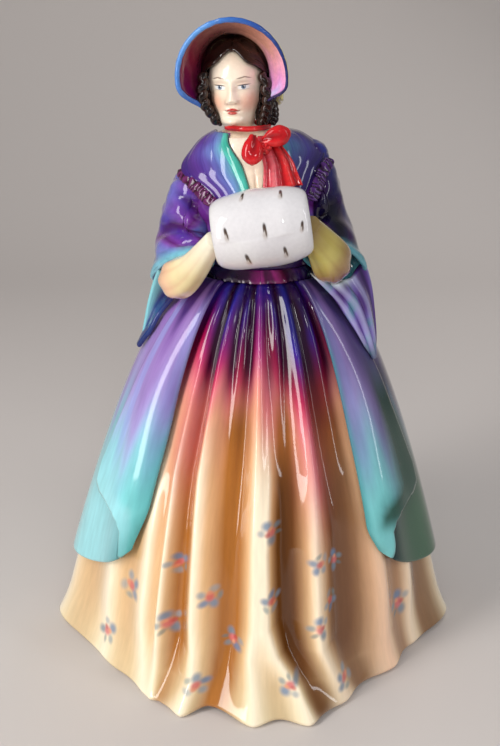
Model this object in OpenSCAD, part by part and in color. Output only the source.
// Bone china lady figurine: hollow castings luted together and glazed.
// Millimetres, +Z up. The lady faces -Y, and "right" and "left" are her own.
// The origin is the middle of the flat base that she stands on.

/* [Skirt] */
// Height of the skirt, from the table to the waist
skirt_height = 118; // [100:1:140]
// Half-width of the hem, side to side
hem_half_width = 64; // [56:0.5:72]
// Reach of the hem in front of the middle
hem_front = 58; // [48:0.5:68]
// Reach of the hem behind the middle
hem_back = 57; // [48:0.5:68]
// How far the hem spreads at each side past a round outline
side_spread = 11.5; // [4:0.5:14]
// How far the last stretch of the hem kicks out
hem_kick = 2; // [0:0.25:4]
// Rise of the hem between two pleats
hem_lift = 2; // [0:0.25:4]
// Number of pleats round the skirt
pleat_count = 16; // [10:2:20]
// Depth of a pleat at the hem
pleat_depth = 4.5; // [1:0.25:6]
// Depth of a pleat at the waist
pleat_depth_waist = 0.8; // [0.2:0.1:1.5]
// Wall of the skirt casting behind the pleats
skirt_wall = 3; // [2:0.25:4]

/* [Base] */
// Thickness of the plate that closes the skirt
base_thickness = 3; // [2:0.25:5]
// Diameter of the firing vent in the plate
vent_diameter = 10; // [6:0.5:16]

/* [Coat] */
// Wall of the open coat that lies over the skirt
coat_wall = 2; // [1.5:0.1:3]
// Angle from the front to each front edge of the coat
coat_edge_angle = 46; // [38:1:60]
// Height of the coat's hem at its front corners
coat_hem_front = 43; // [30:1:60]
// Height of the coat's hem at the back
coat_hem_back = 22; // [14:1:30]
// How far the rolled front edge stands proud
coat_roll = 2.2; // [0:0.1:4]
// Depth of the soft folds at the sides and back of the coat
coat_fold = 1.2; // [0:0.1:2]

/* [Bodice] */
// Half-width of the waist
waist_half_width = 16; // [14:0.5:19]
// Reach of the waist, to the front and to the back
waist_depth = 12; // [10:0.5:14]
// Height of the waist band
band_height = 4; // [2:0.5:7]
// How far the waist band swells past the bodice
band_swell = 2.6; // [2.4:0.1:4]
// Height of the bodice, from the waist band to the neck
bodice_height = 37; // [33:1:42]
// Half-width of the shoulders
shoulder_half_width = 20; // [18:0.5:23]
// Rise of her left shoulder above her right
shoulder_tilt = 3; // [0:0.25:5]
// Reach of the bust in front of the middle
bust_depth = 16.5; // [14:0.5:19]
// Wall of the bodice casting
bodice_wall = 3; // [2:0.25:4]
// Thickness of the collar and of the insert between its edges
collar_wall = 1.2; // [0.8:0.1:2]
// Thickness of the gathered trim outside the collar
ruche_diameter = 3; // [2:0.1:4]
// Number of gathers along each trim
ruche_gathers = 10; // [6:1:12]

/* [Sleeves] */
// Diameter of a sleeve at the shoulder
sleeve_head_diameter = 15; // [12:0.5:17]
// Diameter of the wide mouth of a sleeve
sleeve_mouth_diameter = 18; // [15:0.5:21]
// Length of a sleeve from the shoulder to its mouth
sleeve_length = 28; // [25:1:32]
// Length that the point of a sleeve hangs below its mouth
sleeve_drop_length = 22; // [16:1:27]
// Thickness of the hanging point of a sleeve
sleeve_drop_thickness = 4.4; // [3:0.2:6]
// Diameter of a full undersleeve
undersleeve_diameter = 12; // [10:0.5:14]

/* [Muff] */
// Length of the muff
muff_length = 27; // [22:0.5:32]
// Diameter of the muff at its middle
muff_diameter = 21; // [17:0.5:24]
// Diameter of the muff at its ends
muff_end_diameter = 15; // [12:0.5:17]
// Tilt of the muff, her left end up
muff_tilt = 9; // [0:1:15]
// Height of the muff's middle above the waist
muff_rise = 20.5; // [17:0.5:24]

/* [Head] */
// Height from the neck's seat on the bodice to the top of the skull
head_height = 25.6; // [24:0.2:28]
// Half-width of the skull
skull_half_width = 8.2; // [7:0.1:9.5]
// Half-depth of the skull, front to back
skull_half_depth = 9.4; // [8:0.1:10.5]
// Radius of the neck
neck_radius = 4.6; // [4:0.1:5.5]
// Turn of the head towards her right
head_turn = 8; // [0:1:20]
// Lean of the head towards her right
head_lean = 7; // [0:1:12]
// Thickness of the hair over the skull
hair_thickness = 1.6; // [1:0.1:2.2]
// Diameter of a ringlet
ringlet_diameter = 2.8; // [2:0.1:3.2]
// Length of a ringlet
ringlet_length = 14; // [11:0.5:15]

/* [Bonnet] */
// Thickness of the bonnet's brim and crown
bonnet_wall = 1.2; // [0.8:0.1:1.8]
// How far the brim flares past the hair, sideways
brim_flare = 3.4; // [2:0.1:6]
// How far the brim reaches forward of the crown
brim_reach = 11; // [7:0.5:14]
// Depth of the crown behind the brim
crown_depth = 15; // [14:0.5:18]
// Angle from the top of the bonnet to each lower end
bonnet_wrap = 132; // [110:1:140]
// Diameter of the rolled binding round the brim
binding_diameter = 1.8; // [1.2:0.1:2.6]
// Drop of the frill behind the neck
frill_drop = 6; // [3:0.5:9]

/* [Bow] */
// Height of the ribbon round the neck
ribbon_height = 2.4; // [1.6:0.1:3]
// Thickness of the ribbon
ribbon_thickness = 1.2; // [0.8:0.1:1.8]
// Diameter of the bow's knot
knot_diameter = 4; // [3:0.1:5]
// Length of a bow loop
loop_length = 8; // [6:0.25:10]
// Length of a bow tail
tail_length = 15; // [11:0.5:17]

/* [Hidden] */

// Clearance between two pieces that are luted together
fit_gap = 0.3;
// Sides of the hull chains that make the arms and the bow
chain_fn = 18;
right = -1;
left = 1;

// Exponents of the bell profile: the skirt spreads fast below the waist, then slowly
bell_side = 0.62;
bell_front = 0.72;
bell_back = 0.60;
// Degrees by which the pleats crowd towards the sides
pleat_crowding = 5;
// Height over which the hem kicks out
kick_height = 14;

waist_z = skirt_height;
bodice_z = waist_z + band_height;
neck_z = bodice_z + bodice_height;
shoulder_z = neck_z - 8;
muff_z = waist_z + muff_rise;

// The body sways a little to her left at the waist and back to her right at the neck
waist_sway = 2.3;
shoulder_sway = 0.6;
neck_sway = -1.6;

// Small helpers
function mix(a, b, t) = a + (b - a) * t;
function unit_step(t) = min(1, max(0, t));
function ease(t) = let (u = unit_step(t)) u * u * (3 - 2 * u);
function bump(x, width) = exp(-pow(x / width, 2));
function unit(v) = v / norm(v);
function heading(angle) = [sin(angle), -cos(angle), 0];

// Point at share u of the way along a smooth curve through the given points
function spline(points, u) =
  let (
    last = len(points) - 1,
    i = min(floor(u * last), last - 1),
    t = u * last - i,
    p0 = points[max(i - 1, 0)],
    p1 = points[i],
    p2 = points[i + 1],
    p3 = points[min(i + 2, last)]
  )
  0.5 * (2 * p1 + (p2 - p0) * t + (2 * p0 - 5 * p1 + 4 * p2 - p3) * t * t
    + (3 * p1 - p0 - 3 * p2 + p3) * t * t * t);

// Radius of an oval outline in a direction, with its own reach to the front and back
function oval(angle, half_width, front, back) =
  let (reach = cos(angle) > 0 ? front : back)
  1 / norm([sin(angle) / half_width, cos(angle) / reach]);

// Two triangles for each cell of a grid of points, row by row
function cell(a, b, c, d) = [[a, d, c], [a, c, b]];

// Solid through a stack of closed rings, closed by a fan at each end
module ring_solid(rings) {
  n = len(rings[0]);
  m = len(rings);
  function middle(ring) = [for (p = ring) 1] * ring / n;
  points = concat([for (ring = rings) each ring], [middle(rings[0]), middle(rings[m - 1])]);
  sides = [
    for (i = [0:m - 2], j = [0:n - 1])
      let (k = (j + 1) % n)
      each cell(i * n + j, i * n + k, (i + 1) * n + k, (i + 1) * n + j)
  ];
  ends = [
    for (j = [0:n - 1])
      let (k = (j + 1) % n)
      each [[m * n, j, k], [m * n + 1, (m - 1) * n + k, (m - 1) * n + j]]
  ];
  polyhedron(points, concat(sides, ends));
}

// Solid through a stack of closed rings whose last ring joins its first
module loop_solid(rings) {
  n = len(rings[0]);
  m = len(rings);
  polyhedron(
    [for (ring = rings) each ring],
    [
      for (i = [0:m - 1], j = [0:n - 1])
        let (k = (j + 1) % n, l = (i + 1) % m)
        each cell(i * n + j, i * n + k, l * n + k, l * n + j)
    ]
  );
}

// Panel between an outer and an inner grid of points
module panel(outer, inner) {
  m = len(outer);
  n = len(outer[0]);
  function o(i, j) = i * n + j;
  function h(i, j) = (m + i) * n + j;
  faces = [
    for (i = [0:m - 2], j = [0:n - 2])
      each concat(
        cell(o(i, j), o(i, j + 1), o(i + 1, j + 1), o(i + 1, j)),
        cell(h(i, j + 1), h(i, j), h(i + 1, j), h(i + 1, j + 1))
      )
  ];
  hems = [
    for (j = [0:n - 2])
      each concat(
        cell(h(0, j), h(0, j + 1), o(0, j + 1), o(0, j)),
        cell(o(m - 1, j), o(m - 1, j + 1), h(m - 1, j + 1), h(m - 1, j))
      )
  ];
  edges = [
    for (i = [0:m - 2])
      each concat(
        cell(h(i, 0), o(i, 0), o(i + 1, 0), h(i + 1, 0)),
        cell(o(i, n - 1), h(i, n - 1), h(i + 1, n - 1), o(i + 1, n - 1))
      )
  ];
  polyhedron(concat([for (row = outer) each row], [for (row = inner) each row]),
    concat(faces, hems, edges));
}

// Rings of a tube along a path, each with its own two radii, the first along the given side
function tube_rings(path, radii, side, sides) = [
  for (i = [0:len(path) - 1])
    let (
      ahead = unit(path[min(i + 1, len(path) - 1)] - path[max(i - 1, 0)]),
      across = unit(side - ahead * (side * ahead)),
      up = cross(ahead, across)
    )
    [
      for (j = [0:sides - 1])
        let (a = 360 * j / sides)
        path[i] + across * radii[i][0] * cos(a) + up * radii[i][1] * sin(a)
    ]
];

// Chain of hulls between balls along a smooth path
module ball_chain(path, diameters, steps) {
  for (i = [0:steps - 1])
    hull()
      for (u = [i / steps, (i + 1) / steps])
        translate(spline(path, u))
          sphere(d = spline(diameters, u), $fn = chain_fn);
}

// Skirt, base and coat

function body_sway(z) =
  z < waist_z ? waist_sway * z / waist_z
  : z < shoulder_z ? mix(waist_sway, shoulder_sway, (z - waist_z) / (shoulder_z - waist_z))
  : mix(shoulder_sway, neck_sway, ease((z - shoulder_z) / (neck_z - shoulder_z)));

// Share of the way down the skirt
function down(z) = unit_step((waist_z - z) / waist_z);

// Plain radius of the skirt, at the crests of its pleats
function skirt_radius(angle, z) =
  let (
    t = down(z),
    kick = hem_kick * pow(max(0, 1 - z / kick_height), 2),
    lobe = side_spread * t * t
  )
  oval(
    angle,
    mix(waist_half_width, hem_half_width, pow(t, bell_side)) - lobe + kick,
    mix(waist_depth, hem_front, pow(t, bell_front)) + kick,
    mix(waist_depth, hem_back, pow(t, bell_back)) + kick
  )
  + lobe * bump(from_front(angle) - 90, 18);

// 0 on the crest of a pleat and 1 in its valley; the pleats are shallow at the sides
function pleat(angle) =
  mix(1, 0.3, bump(from_front(angle) - 82, 26))
  * pow((1 - cos(pleat_count * (angle + pleat_crowding * sin(2 * angle)))) / 2, 1.4);

function pleat_cut(z) = mix(pleat_depth_waist, pleat_depth, down(z));

function at(angle, radius, z) = heading(angle) * radius + [body_sway(z), 0, z];

function skirt_outside(angle, z) =
  at(angle, skirt_radius(angle, z) - pleat_cut(z) * pleat(angle), z);

// The inside is upright where the base plate sits in it
base_seat = base_thickness + hem_lift;

function skirt_bore(angle, z) =
  let (level = max(z, base_seat)) skirt_radius(angle, level) - pleat_cut(level) - skirt_wall;

function skirt_inside(angle, z) = at(angle, skirt_bore(angle, z), z);

skirt_columns = 6 * pleat_count;

module skirt() {
  rows = 13;
  hollow_rows = 4;
  turns = [for (j = [0:skirt_columns - 1]) 360 * j / skirt_columns];
  function hem_height(angle) = hem_lift * pleat(angle);
  function height_at(angle, share) = mix(hem_height(angle), waist_z, pow(share, 1.15));
  color("wheat")
    loop_solid(concat(
      [for (i = [0:rows]) [for (angle = turns) skirt_outside(angle, height_at(angle, i / rows))]],
      [
        for (i = [hollow_rows:-1:0])
          [for (angle = turns) skirt_inside(angle, mix(base_seat, waist_z, i / hollow_rows))]
      ],
      [[for (angle = turns) skirt_inside(angle, hem_height(angle))]]
    ));
}

module base_plate() {
  outline = [
    for (j = [0:skirt_columns - 1])
      let (angle = 360 * j / skirt_columns, radius = skirt_bore(angle, 0) - fit_gap)
      [sin(angle) * radius, -cos(angle) * radius]
  ];
  color("ivory")
    difference() {
      linear_extrude(base_thickness) polygon(outline);
      translate([0, 0, -1]) cylinder(d = vent_diameter, h = base_thickness + 2, $fn = 64);
    }
}

// Angle from the front, 0 to 180, whichever side it is on
function from_front(angle) = abs(angle > 180 ? angle - 360 : angle);

function coat_hem(angle) =
  let (past = from_front(angle) - coat_edge_angle)
  mix(coat_hem_front, coat_hem_back, 1 - exp(-max(0, past) / 34));

// How far the coat's surface stands out from its thinnest, along its rolled edges and folds
function coat_relief(angle, z) =
  let (past = from_front(angle) - coat_edge_angle, t = down(z))
  t * (coat_roll * bump(past - 4, 5) + coat_fold * (1 - cos(9 * past)) / 2 * ease((past - 12) / 12));

function coat_outside(angle, z, gap = 0) =
  at(angle, skirt_radius(angle, z) + fit_gap + coat_wall + coat_relief(angle, z) + gap, z);

function coat_inside(angle, z) = at(angle, skirt_radius(angle, z) + fit_gap, z);

module coat_skirt() {
  columns = 48;
  rows = 12;
  function angle_at(j) = mix(coat_edge_angle, 360 - coat_edge_angle, j / columns);
  function height_at(j, share) = mix(coat_hem(angle_at(j)), waist_z, pow(share, 1.1));
  color("mediumpurple")
    panel(
      [for (i = [0:rows]) [for (j = [0:columns]) coat_outside(angle_at(j), height_at(j, i / rows))]],
      [for (i = [0:rows]) [for (j = [0:columns]) coat_inside(angle_at(j), height_at(j, i / rows))]]
    );
}

// The space that the upper coat fills, for pieces that lie against it
module coat_envelope(gap) {
  sides = 64;
  rows = 10;
  low = waist_z - sleeve_drop_length - 20;
  ring_solid([
    for (i = [0:rows])
      [for (j = [0:sides - 1]) coat_outside(360 * j / sides, mix(low, waist_z, i / rows), gap)]
  ]);
  // The waist band above it
  translate([waist_sway, 0, waist_z - fit_gap])
    linear_extrude(band_height + 2 * fit_gap)
      polygon([
        for (j = [0:sides - 1])
          let (a = 360 * j / sides, r = oval(a, waist_half_width, waist_depth, waist_depth) + band_swell + gap)
          [sin(a) * r, -cos(a) * r]
      ]);
}

module waist_band() {
  sides = 40;
  // Share of the height and of the swell, going round the band's section
  section = [[0, 0], [0, 0.75], [0.5, 1], [1, 0.75], [1, 0], [0.5, 0]];
  hollow = bodice_wall + 2;
  color("indigo")
    loop_solid([
      for (p = section)
        [
          for (j = [0:sides - 1])
            let (angle = 360 * j / sides, out = mix(-hollow, band_swell, p[1] > 0 ? p[1] : 0))
            at(angle, oval(angle, waist_half_width, waist_depth, waist_depth) + out,
              waist_z + band_height * p[0])
        ]
    ]);
}

// Bodice and what lies on it

// Height, half-width, front reach and back reach, from the waist band to the neck
bodice_profile = [
  [bodice_z, waist_half_width, waist_depth, waist_depth - 1],
  [bodice_z + 0.30 * bodice_height, mix(waist_half_width, shoulder_half_width, 0.6), bust_depth, waist_depth],
  [bodice_z + 0.55 * bodice_height, shoulder_half_width, bust_depth - 0.5, waist_depth],
  [shoulder_z - 1, shoulder_half_width - 0.5, bust_depth - 4, waist_depth - 1],
  [neck_z - 2.6, mix(neck_radius, shoulder_half_width, 0.66), neck_radius + 5, neck_radius + 3],
  [neck_z, neck_radius + 1, neck_radius + 1, neck_radius + 1]
];

// Point of the bodice at an angle and at share u of its height, moved out by a gap
function bodice_point(angle, u, gap = 0) =
  let (p = spline(bodice_profile, u), radius = oval(angle, p[1], p[2], p[3]) + gap)
  at(angle, radius, p[0]) + [0, 0, shoulder_lift(p[0], radius * sin(angle))];

// Rise of the bodice at a place across it, fading out at the waist and at the neck's seat
function shoulder_lift(z, x) =
  shoulder_tilt / 2 * x / shoulder_half_width
  * ease((z - bodice_z) / (shoulder_z - bodice_z)) * (1 - ease((z - shoulder_z - 4) / (neck_z - shoulder_z - 4)));

function bodice_ring(u, gap, sides = 40) = [for (j = [0:sides - 1]) bodice_point(360 * j / sides, u, gap)];

module bodice() {
  rows = 12;
  hollow_rows = 6;
  hollow_top = 0.72;
  color("darkslateblue")
    ring_solid(concat(
      [for (i = [hollow_rows:-1:0]) bodice_ring(hollow_top * i / hollow_rows, -bodice_wall)],
      [for (i = [0:rows]) bodice_ring(i / rows, 0)]
    ));
}

// The space that the bodice fills, for pieces that lie against it
module bodice_envelope(gap) {
  rows = 12;
  ring_solid([for (i = [0:rows]) bodice_ring(i / rows, gap)]);
}

// Share of the bodice's height where the neckline's V closes, and where the collar ends
neckline_low = 0.36;
neckline_high = 0.93;
// Angle of the collar's inner edge at the neck, and its angular width at both ends
neckline_angle = 62;
collar_shoulder_width = 42;
collar_waist_width = 40;
// Angle between the collar's outer edge and the trim
ruche_clear = 6.5;

// Clearance under the collar, which bends over the shoulder
collar_gap = fit_gap + 0.1;

function neckline(share) = mix(3, neckline_angle, pow(share, 1.7));
function collar_width(share) =
  mix(collar_waist_width, collar_shoulder_width, share) + 8 * sin(180 * share);

module collar(side) {
  rows = 14;
  columns = 9;
  function grid(gap) = [
    for (i = [0:rows])
      let (share = i / rows, u = mix(neckline_low, neckline_high, share))
      [
        for (j = [0:columns])
          let (across = side > 0 ? j / columns : 1 - j / columns)
          bodice_point(side * (neckline(share) + collar_width(share) * across), u, gap)
      ]
  ];
  color("cornflowerblue") panel(grid(collar_gap + collar_wall), grid(collar_gap));
}

module chest_insert() {
  rows = 8;
  columns = 8;
  clear = 1.2;
  function grid(gap) = [
    for (i = [0:rows])
      let (share = mix(0.08, 0.9, i / rows), u = mix(neckline_low, neckline_high, share))
      [for (j = [0:columns]) bodice_point((neckline(share) - clear) * mix(-1, 1, j / columns), u, gap)]
  ];
  color("antiquewhite") panel(grid(fit_gap + collar_wall / 2), grid(fit_gap));
}

module ruche(side) {
  steps = 4 * ruche_gathers;
  path = [
    for (i = [0:steps])
      let (share = mix(0.02, 0.56, i / steps), u = mix(neckline_low, neckline_high, share))
      bodice_point(side * (neckline(share) + collar_width(share) + ruche_clear), u,
        fit_gap + ruche_diameter / 2)
  ];
  radii = [
    for (i = [0:steps])
      let (r = ruche_diameter / 2 * (i % 4 == 0 ? 0.72 : i % 2 == 0 ? 1 : 0.9)) [r, r]
  ];
  color("purple") ring_solid(tube_rings(path, radii, [1, 0, 0], 6));
}

// Arms and muff

muff_gap = 0.6;
muff_y = -(bust_depth + fit_gap + collar_wall + muff_gap + muff_diameter / 2);
muff_middle = [waist_sway, muff_y, muff_z];

function muff_end(side, share = 1) =
  muff_middle + side * share * muff_length / 2 * [cos(muff_tilt), 0, sin(muff_tilt)];

module muff() {
  r = muff_diameter / 2;
  re = muff_end_diameter / 2;
  half = muff_length / 2;
  shoulder = (r - re) * 1.2;
  steps = 8;
  outline = concat(
    [[0, -half], [re, -half]],
    [
      for (i = [1:2 * steps - 1])
        let (a = -90 + 180 * i / (2 * steps))
        [re + (r - re) * pow(cos(a), 0.6), half * sin(a)]
    ],
    [[re, half], [0, half]]
  );
  color("white")
    translate(muff_middle)
      rotate([0, 90 - muff_tilt, 0])
        rotate_extrude($fn = 48) polygon(outline);
}

sleeve_slope = 66.5;

function shoulder_point(side) =
  [
    shoulder_sway + side * (shoulder_half_width - 4),
    0,
    shoulder_z - sleeve_head_diameter / 2 + 3 + side * shoulder_tilt / 2
  ];

function mouth_point(side) =
  shoulder_point(side)
  + sleeve_length * [side * cos(sleeve_slope) * 0.7, -cos(sleeve_slope) * 0.54, -sin(sleeve_slope)]
  + [waist_sway - shoulder_sway, 0, -side * shoulder_tilt / 2];

function sleeve_path(side) = [
  shoulder_point(side),
  mix(shoulder_point(side), mouth_point(side), 0.5) + [side * 0.6, 1.5, 0],
  mouth_point(side)
];

sleeve_diameters = [
  sleeve_head_diameter,
  mix(sleeve_head_diameter, sleeve_mouth_diameter, 0.45),
  sleeve_mouth_diameter * 0.86
];

function undersleeve_path(side) =
  let (
    inner = muff_end(side, 0.9),
    outer = mouth_point(side) + [0, -1, -1],
    reach = outer - inner
  )
  [
    inner,
    inner + reach * 0.35 + [side * 2, -1, -2.5],
    inner + reach * 0.72 + [side * 1.5, -2, -2.5],
    outer
  ];

undersleeve_diameters = [
  undersleeve_diameter * 0.62,
  undersleeve_diameter * 0.86,
  undersleeve_diameter,
  undersleeve_diameter * 0.8
];

module sleeve_body(side, gap) {
  ball_chain(sleeve_path(side), sleeve_diameters + [1, 1, 1] * 2 * gap, 8);
}

module undersleeve_body(side, gap) {
  ball_chain(undersleeve_path(side), undersleeve_diameters + [1, 1, 1, 1] * 2 * gap, 8);
}

// The space round the muff, for pieces that end at it
module muff_envelope(gap) {
  translate(muff_middle)
    rotate([0, 90 - muff_tilt, 0])
      cylinder(d = muff_diameter + 2 * gap, h = muff_length + 2 * gap, center = true, $fn = 32);
}

module sleeve(side) {
  color("rebeccapurple")
    difference() {
      sleeve_body(side, 0);
      bodice_envelope(fit_gap + collar_wall + fit_gap);
      undersleeve_body(side, fit_gap);
      coat_envelope(fit_gap + 0.1);
      muff_envelope(fit_gap);
      ruche_envelope(side);
    }
}

// The space round a gathered trim, for the sleeve that meets it
module ruche_envelope(side) {
  steps = 8;
  path = [
    for (i = [0:steps])
      let (share = mix(0, 0.6, i / steps), u = mix(neckline_low, neckline_high, share))
      bodice_point(side * (neckline(share) + collar_width(share) + ruche_clear), u,
        fit_gap + ruche_diameter / 2)
  ];
  r = ruche_diameter / 2 + fit_gap;
  ring_solid(tube_rings(path, [for (p = path) [r, r]], [1, 0, 0], 8));
}

module undersleeve(side) {
  color("khaki")
    difference() {
      undersleeve_body(side, 0);
      muff_envelope(fit_gap);
      bodice_envelope(fit_gap + collar_wall + fit_gap);
      coat_envelope(fit_gap + 0.1);
    }
}

// Hanging point of the wide sleeve: from under the mouth, down along the coat
module sleeve_point(side) {
  top = mouth_point(side);
  mouth_r = sleeve_mouth_diameter / 2;
  tip = top + [side * (mouth_r + 1.4), 4, -sleeve_drop_length - 3];
  front = top + [side * 1, -mouth_r * 0.85, -mouth_r * 0.6];
  back = top + [side * mouth_r * 0.5, mouth_r * 0.5, -mouth_r * 0.3];
  t = sleeve_drop_thickness;
  strips = 8;
  color("slateblue")
    difference() {
      for (i = [0:strips - 1])
        hull() {
          translate(tip) sphere(d = t * 0.6, $fn = chain_fn);
          for (u = [i / strips, (i + 1) / strips])
            translate(spline([front, mix(front, back, 0.5) + [side * mouth_r * 0.35, 0, 0], back], u))
              sphere(d = t, $fn = chain_fn);
        }
      sleeve_body(side, fit_gap);
      undersleeve_body(side, fit_gap);
      coat_envelope(fit_gap + 0.1);
      bodice_envelope(fit_gap);
    }
}

// Head, hair and bonnet

neck_seat = [neck_sway, 0, neck_z];
// Height of the chin, and of the middle of the skull, above the neck's seat
chin_rise = 4.6;
skull_rise = head_height - 9.5;
skull_half_height = head_height - skull_rise;

// Turns a point of the upright head to its pose; share 0 keeps the seat level
function posed(p, share = 1) =
  let (
    turn = -head_turn * share,
    lean = -head_lean * share,
    x1 = p[0] * cos(turn) - p[1] * sin(turn),
    y1 = p[0] * sin(turn) + p[1] * cos(turn)
  )
  neck_seat + [x1 * cos(lean) + p[2] * sin(lean), y1, p[2] * cos(lean) - x1 * sin(lean)];

// Height, half-width, front reach and back reach of the neck and head
head_profile = [
  [0, neck_radius + 0.5, neck_radius + 0.4, neck_radius + 0.4],
  [chin_rise - 1.6, neck_radius, neck_radius, neck_radius + 0.3],
  [chin_rise - 0.3, neck_radius, skull_half_depth - 2.2, neck_radius + 0.6],
  [chin_rise + 1.2, neck_radius + 0.6, skull_half_depth - 0.1, neck_radius + 1.2],
  [chin_rise + 3.4, skull_half_width * 0.76, skull_half_depth - 0.4, skull_half_depth * 0.7],
  [chin_rise + 6.2, skull_half_width * 0.88, skull_half_depth - 0.3, skull_half_depth * 0.86],
  [chin_rise + 9.2, skull_half_width * 0.95, skull_half_depth - 0.5, skull_half_depth * 0.95],
  [skull_rise, skull_half_width, skull_half_depth, skull_half_depth],
  [skull_rise + 0.45 * skull_half_height, skull_half_width * 0.89, skull_half_depth * 0.89, skull_half_depth * 0.89],
  [skull_rise + 0.8 * skull_half_height, skull_half_width * 0.6, skull_half_depth * 0.6, skull_half_depth * 0.6],
  [skull_rise + 0.98 * skull_half_height, skull_half_width * 0.18, skull_half_depth * 0.18, skull_half_depth * 0.18]
];

// Height, forward reach and spread of the nose
nose_rise = chin_rise + 6.8;
nose_reach = 1.7;

module head() {
  sides = 40;
  rows = 24;
  color("bisque")
    ring_solid([
      for (i = [0:rows])
        let (p = spline(head_profile, i / rows), share = ease(p[0] / chin_rise))
        [
          for (j = [0:sides - 1])
            let (
              angle = 360 * j / sides,
              nose = nose_reach * bump(from_front(angle), 12) * bump(p[0] - nose_rise, 2.2)
            )
            posed(heading(angle) * (oval(angle, p[1], p[2], p[3]) + nose) + [0, 0, p[0]], share)
        ]
    ]);
}

// Point of the skull: along from her right ear over to her left, and round from the face to the nape
function skull_point(along, round, gap) =
  [
    (skull_half_width + gap) * sin(along),
    -(skull_half_depth + gap) * cos(along) * cos(round),
    skull_rise + (skull_half_height + gap) * cos(along) * sin(round)
  ];

// The hairline is parted in the middle and sweeps down to the temples
function hairline(along) = mix(57, 22, ease(abs(along) / 62));

module hair() {
  columns = 18;
  rows = 16;
  reach = 74;
  nape = 205;
  function grid(gap) = [
    for (i = [0:rows])
      [
        for (j = [0:columns])
          let (along = mix(-reach, reach, j / columns))
          posed(skull_point(along, mix(hairline(along), nape, i / rows), gap))
      ]
  ];
  color("saddlebrown") panel(grid(fit_gap + hair_thickness), grid(fit_gap));
}

// Middle of a ringlet at share u of its length: from the temple, in front of the brim's end
function ringlet_middle(side, u) =
  [
    side * mix(skull_half_width, neck_radius + 1.8, u),
    -skull_half_depth * mix(0.66, 0.8, u),
    skull_rise + 0.8 - ringlet_length * u
  ];

module ringlets(side) {
  steps = 30;
  turns = 4;
  r = ringlet_diameter / 2;
  path = [
    for (i = [0:steps])
      let (u = i / steps, a = 360 * turns * u)
      posed(ringlet_middle(side, u) + 0.22 * r * [cos(a), sin(a), 0])
  ];
  radii = [for (i = [0:steps]) let (s = r * (0.55 + 0.22 * sin(180 * i / steps))) [s, s]];
  color("saddlebrown") ring_solid(tube_rings(path, radii, [1, 0, 0], 8));
}

// The bonnet is turned about an axis that runs forward through the skull
bonnet_axis_rise = skull_rise + 0.6;
bonnet_bore_side = skull_half_width + hair_thickness + 3 * fit_gap;
bonnet_bore_top = skull_half_height + hair_thickness + 3 * fit_gap;
seam_y = -2;

// Point of the bonnet: angle from the top, how far it flares, and how far back it lies
function bonnet_point(angle, flare, y) =
  posed([
    (bonnet_bore_side + flare) * sin(angle),
    y,
    bonnet_axis_rise + (bonnet_bore_top + (flare > 0 ? flare * 0.7 : flare)) * cos(angle)
  ]);

function wrap_angle(share) = mix(-bonnet_wrap, bonnet_wrap, share);

// Distance that the brim flares and reaches, at share u from its seam to its edge
function brim_curve(u) = [brim_flare * pow(u, 1.5), seam_y - brim_reach * u];

// The brim is widest over the face and narrows towards its lower ends
function brim_share(angle) = mix(1, 0.1, ease((abs(angle) - 85) / (bonnet_wrap - 85)));

module bonnet_brim() {
  rows = 7;
  columns = 32;
  function grid(gap) = [
    for (i = [0:rows])
      [
        for (j = [0:columns])
          let (angle = wrap_angle(j / columns), p = brim_curve(brim_share(angle) * i / rows))
          bonnet_point(angle, p[0] + gap, p[1])
      ]
  ];
  color("plum") panel(grid(0), grid(bonnet_wall));
}

module brim_binding() {
  steps = 40;
  r = binding_diameter / 2;
  path = [
    for (j = [0:steps])
      let (angle = wrap_angle(j / steps), p = brim_curve(brim_share(angle)))
      bonnet_point(angle, p[0] + bonnet_wall / 2, p[1] - r - 3 * fit_gap)
  ];
  color("steelblue") ring_solid(tube_rings(path, [for (p = path) [r, r]], [0, 1, 0], 8));
}

// Outward swell of the crown, at share u from the seam to its back
function crown_curve(u) = [-5.2 * pow(u, 3) + 0.5 * sin(180 * u), seam_y + fit_gap + crown_depth * u];

module bonnet_crown() {
  rows = 7;
  columns = 28;
  function grid(gap) = [
    for (i = [0:rows])
      let (p = crown_curve(i / rows))
      [for (j = [0:columns]) bonnet_point(wrap_angle(j / columns), p[0] + gap, p[1])]
  ];
  color("khaki") panel(grid(bonnet_wall), grid(0));
}

module crown_tip() {
  sides = 32;
  back = crown_curve(1);
  // Set-back and inset of each ring of the slightly domed disc
  section = [[fit_gap, 0.2], [bonnet_wall, 0], [bonnet_wall + 0.8, 1.5], [bonnet_wall + 1.2, 4]];
  color("khaki")
    ring_solid([
      for (p = section)
        [
          for (j = [0:sides - 1])
            bonnet_point(-360 * j / sides, back[0] + bonnet_wall - p[1], back[1] + p[0])
        ]
    ]);
}

module neck_frill() {
  rows = 4;
  columns = 20;
  waves = 5;
  start = bonnet_wrap + 1.5;
  function grid(gap) = [
    for (i = [0:rows])
      let (u = i / rows)
      [
        for (j = [0:columns])
          let (
            share = j / columns,
            angle = mix(start, 360 - start, share),
            wave = 0.7 * u * cos(360 * waves * share),
            edge = crown_curve(mix(0.45, 0.95, sin(180 * share))),
            p = bonnet_point(angle, edge[0] + bonnet_wall + fit_gap, edge[1])
          )
          p + [0, u * (2 + wave) + gap, -frill_drop * u * 0.8]
      ]
  ];
  color("khaki") panel(grid(bonnet_wall), grid(0));
}

// Ribbon and bow

// The ribbon dips at the front, where it runs forward over the top of the chest to the knot
ribbon_front = neck_radius + 5;
ribbon_dip = 0.8;
ribbon_z = neck_z + ribbon_height / 2 + fit_gap;
knot_offset = [3.8, -1.4];

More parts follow.
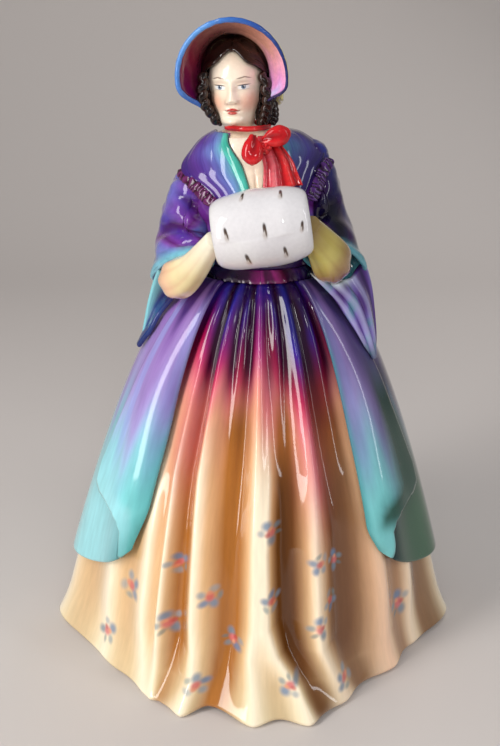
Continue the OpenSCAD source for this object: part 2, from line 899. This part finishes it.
module neck_ribbon() {
  sides = 40;
  section_sides = 8;
  half = ribbon_height / 2;
  clear = 2 * fit_gap + 0.5;
  color("firebrick")
    loop_solid([
      for (i = [0:section_sides - 1])
        let (a = 360 * i / section_sides)
        [
          for (j = [0:sides - 1])
            let (
              angle = 360 * j / sides,
              front = pow((1 + cos(angle)) / 2, 4),
              bore = oval(angle, neck_radius + clear, ribbon_front, neck_radius + clear),
              radius = bore + ribbon_thickness / 2 * (1 + 0.92 * cos(a))
            )
            [neck_sway, 0, ribbon_z - ribbon_dip * front + half * sin(a) * 0.9] + heading(angle) * radius
        ]
    ]);
}

knot_centre = [
  neck_sway + knot_offset[0],
  -(ribbon_front + ribbon_thickness + fit_gap + knot_diameter / 2 + 2),
  neck_z + knot_offset[1]
];

module bow_knot() {
  color("firebrick")
    translate(knot_centre)
      rotate([90, 0, 0])
        rotate_extrude($fn = 32)
          polygon([
            for (i = [0:10])
              let (a = -90 + 18 * i)
              [knot_diameter / 2 * pow(cos(a), 0.7), knot_diameter * 0.42 * sin(a)]
          ]);
}

// A loop of ribbon that leaves the knot along a direction
module bow_loop(root, direction, width) {
  color("firebrick")
    ring_solid(tube_rings(
      [for (i = [0:8]) root + direction * loop_length * i / 8 + [0, -0.9 * sin(22.5 * i), 0]],
      [for (i = [0:8]) let (w = spline([0.42, 0.8, 1, 0.86, 0.3], i / 8)) [width / 2 * w, ribbon_thickness * (0.8 + w)]],
      cross(direction, [0, 1, 0]), 12
    ));
}

right_loop_width = 5;
left_loop_width = 6;

// Her right loop hangs beside the knot, and her left one stands out from it
module right_bow_loop()
  bow_loop(knot_centre + [-knot_diameter / 2 - right_loop_width * 0.36 - fit_gap, 0, loop_length * 0.35],
    unit([-0.08, -0.3, -1]), right_loop_width);

module left_bow_loop()
  let (direction = unit([1, 0.1, 0.6]))
  bow_loop(knot_centre + direction * (knot_diameter / 2 + fit_gap), direction, left_loop_width);

// A tail of ribbon that hangs from under the knot and lies on the chest
module bow_tail(start, finish, width) {
  steps = 8;
  high = 0.9;
  low = high - tail_length / bodice_height;
  color("crimson")
    ring_solid(tube_rings(
      [
        for (i = [0:steps])
          bodice_point(mix(start, finish, i / steps), mix(high, low, i / steps),
            4 * fit_gap + collar_wall + ribbon_thickness / 2)
      ],
      [for (i = [0:steps]) [width / 2 * mix(0.6, 1, i / steps), ribbon_thickness / 2]],
      [cos(finish), sin(finish), 0], 8
    ));
}

base_plate();
skirt();
coat_skirt();
waist_band();
bodice();
chest_insert();
collar(right);  // right_collar
collar(left);  // left_collar
ruche(right);  // right_ruche
ruche(left);  // left_ruche
sleeve(right);  // right_sleeve
sleeve(left);  // left_sleeve
sleeve_point(right);  // right_sleeve_point
sleeve_point(left);  // left_sleeve_point
undersleeve(right);  // right_undersleeve
undersleeve(left);  // left_undersleeve
muff();
head();
hair();
ringlets(right);  // right_ringlets
ringlets(left);  // left_ringlets
bonnet_brim();
brim_binding();
bonnet_crown();
crown_tip();
neck_frill();
neck_ribbon();
bow_knot();
right_bow_loop();
left_bow_loop();
bow_tail(20, 13, 4);  // right_bow_tail
bow_tail(40, 33, 5);  // left_bow_tail
